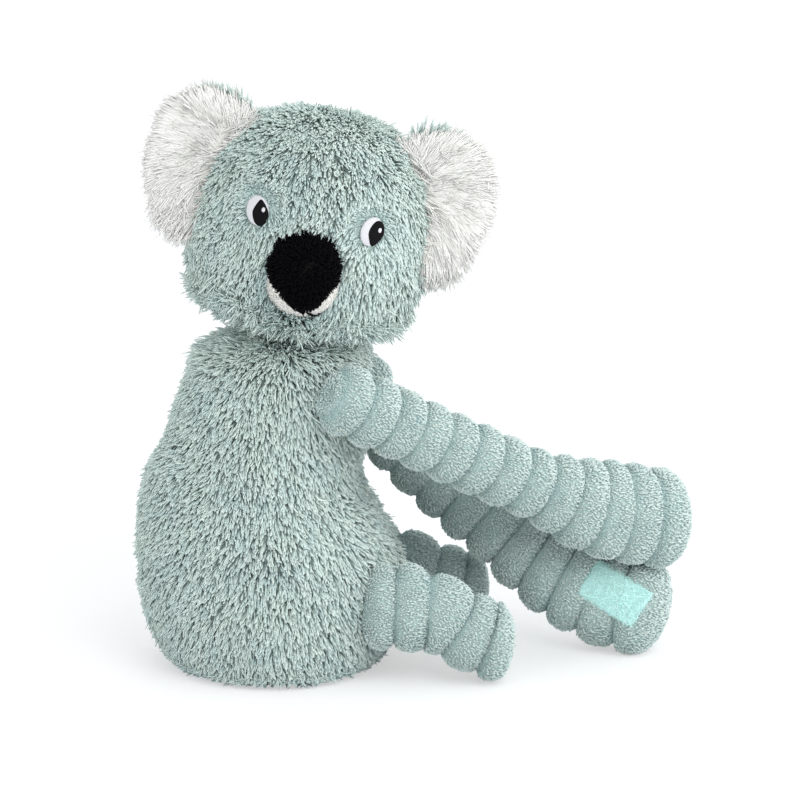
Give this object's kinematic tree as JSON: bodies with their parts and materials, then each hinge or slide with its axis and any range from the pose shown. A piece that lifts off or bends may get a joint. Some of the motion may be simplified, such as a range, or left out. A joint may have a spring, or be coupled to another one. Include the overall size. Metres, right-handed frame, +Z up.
{
  "type": "plush koala",
  "caption": "Seated plush koala with a shaggy body and turned head, dished white ears, ribbed arms that reach forward and ribbed legs.",
  "frame": {"origin": "middle of the flat seat panel's underside, which rests on the floor", "axes": "+Z up, -Y the way the body and arms face, +X the koala's own left"},
  "size_m": [0.1171, 0.2467, 0.263],
  "materials": {
    "plush": "shaggy long-pile plush, soft grey-teal",
    "ribbed_plush": "jumbo-wale ribbed short-pile plush, soft grey-teal",
    "white_plush": "long-pile plush, off-white",
    "nose_plush": "short-pile plush, black",
    "white_thread": "satin-stitch embroidery, off-white",
    "dark_thread": "satin-stitch embroidery, near black",
    "loop_tape": "loop tape, pale aqua",
    "hook_tape": "hook tape, grey-teal",
    "thread": "sewing thread, grey-teal",
    "filling": "polyester fibre filling, white",
    "pellets": "bag of small plastic pellets"
  },
  "bodies": {
    "torso": {"torso_cover": "plush", "seat_panel": "plush", "pellet_bag": "pellets", "torso_filling": "filling", "left_shoulder_seam": "thread"},
    "neckline": {"neck_seam": "thread"},
    "neck": {"neck_filling": "filling"},
    "head": {"head_cover": "plush", "head_filling": "filling", "muzzle": "white_plush", "nose": "nose_plush", "mouth_stitch": "dark_thread", "left_eye_white": "white_thread", "left_eye_pupil": "dark_thread", "left_eye_glint": "white_thread", "right_eye_white": "white_thread", "right_eye_pupil": "dark_thread", "right_eye_glint": "white_thread"},
    "left_ear": {"left_ear_front": "white_plush", "left_ear_back": "plush"},
    "right_ear": {"right_ear_front": "white_plush", "right_ear_back": "plush"},
    "right_shoulder": {"right_shoulder_seam": "thread"},
    "right_upper_arm": {"right_upper_arm": "ribbed_plush", "right_upper_arm_filling": "filling"},
    "right_forearm": {"right_forearm": "ribbed_plush", "right_forearm_filling": "filling"},
    "right_hand": {"right_hand": "ribbed_plush", "right_hand_filling": "filling", "hook_patch": "hook_tape"},
    "left_upper_arm": {"left_upper_arm": "ribbed_plush", "left_upper_arm_filling": "filling"},
    "left_forearm": {"left_forearm": "ribbed_plush", "left_forearm_filling": "filling"},
    "left_hand": {"left_hand": "ribbed_plush", "left_hand_filling": "filling", "loop_patch": "loop_tape"},
    "right_hip": {"right_hip_seam": "thread"},
    "right_leg": {"right_leg": "ribbed_plush", "right_leg_filling": "filling"},
    "left_hip": {"left_hip_seam": "thread"},
    "left_leg": {"left_leg": "ribbed_plush", "left_leg_filling": "filling"}
  },
  "joints": [
    {"name": "neck_turn", "type": "hinge", "parent": "torso", "child": "neckline", "pos_m": [0, -0.007, 0.1545], "axis": [0, 0, 1], "range_deg": [0, 194]},
    {"name": "head_tilt", "type": "hinge", "parent": "neckline", "child": "neck", "pos_m": [0, -0.007, 0.1545], "axis": [0.9925, -0.1219, 0], "range_deg": [-25, 5]},
    {"name": "head_nod", "type": "hinge", "parent": "neck", "child": "head", "pos_m": [0, -0.007, 0.1545], "axis": [-0.1196, -0.9743, -0.1908], "range_deg": [-12, 13]},
    {"name": "left_ear_fold", "type": "hinge", "parent": "head", "child": "left_ear", "pos_m": [-0.00545, -0.06731, 0.2121], "axis": [0.0904, 0.0423, 0.995], "range_deg": [-18, 18]},
    {"name": "right_ear_fold", "type": "hinge", "parent": "head", "child": "right_ear", "pos_m": [0.00614, 0.02704, 0.23058], "axis": [0.0325, -0.4291, 0.9027], "range_deg": [-18, 18]},
    {"name": "right_shoulder_swing", "type": "hinge", "parent": "torso", "child": "right_shoulder", "pos_m": [-0.0418, -0.0285, 0.131], "axis": [0, 0, -1], "range_deg": [0, 115]},
    {"name": "right_shoulder_lift", "type": "hinge", "parent": "right_shoulder", "child": "right_upper_arm", "pos_m": [-0.0418, -0.0285, 0.131], "axis": [-0.9781, -0.2079, 0], "range_deg": [0, 52]},
    {"name": "right_elbow", "type": "hinge", "parent": "right_upper_arm", "child": "right_forearm", "pos_m": [-0.02774, -0.09349, 0.09492], "axis": [-0.9729, -0.2313, 0], "range_deg": [0, 25]},
    {"name": "right_wrist", "type": "hinge", "parent": "right_forearm", "child": "right_hand", "pos_m": [-0.01551, -0.14111, 0.07055], "axis": [0, 0, 1], "range_deg": [-25, 25]},
    {"name": "left_shoulder_swing", "type": "hinge", "parent": "torso", "child": "left_upper_arm", "pos_m": [0.042, -0.0354, 0.124], "axis": [0, 0, 1], "range_deg": [0, 105]},
    {"name": "left_elbow", "type": "hinge", "parent": "left_upper_arm", "child": "left_forearm", "pos_m": [0.02338, -0.0864, 0.06484], "axis": [0, 0, 1], "range_deg": [-8, 25]},
    {"name": "left_wrist", "type": "hinge", "parent": "left_forearm", "child": "left_hand", "pos_m": [0.0058, -0.13156, 0.03171], "axis": [0, 0, 1], "range_deg": [-20, 25]},
    {"name": "right_hip_swing", "type": "hinge", "parent": "torso", "child": "right_hip", "pos_m": [-0.04, -0.0505, 0.032], "axis": [0, 0, -1], "range_deg": [-20, 50]},
    {"name": "right_hip_lift", "type": "hinge", "parent": "right_hip", "child": "right_leg", "pos_m": [-0.04, -0.0505, 0.032], "axis": [-0.9962, 0.0872, 0], "range_deg": [0, 50]},
    {"name": "left_hip_swing", "type": "hinge", "parent": "torso", "child": "left_hip", "pos_m": [0.04, -0.0475, 0.027], "axis": [0, 0, 1], "range_deg": [-8, 50]},
    {"name": "left_hip_lift", "type": "hinge", "parent": "left_hip", "child": "left_leg", "pos_m": [0.04, -0.0475, 0.027], "axis": [-0.9962, 0.0872, 0], "range_deg": [0, 14]}
  ]
}
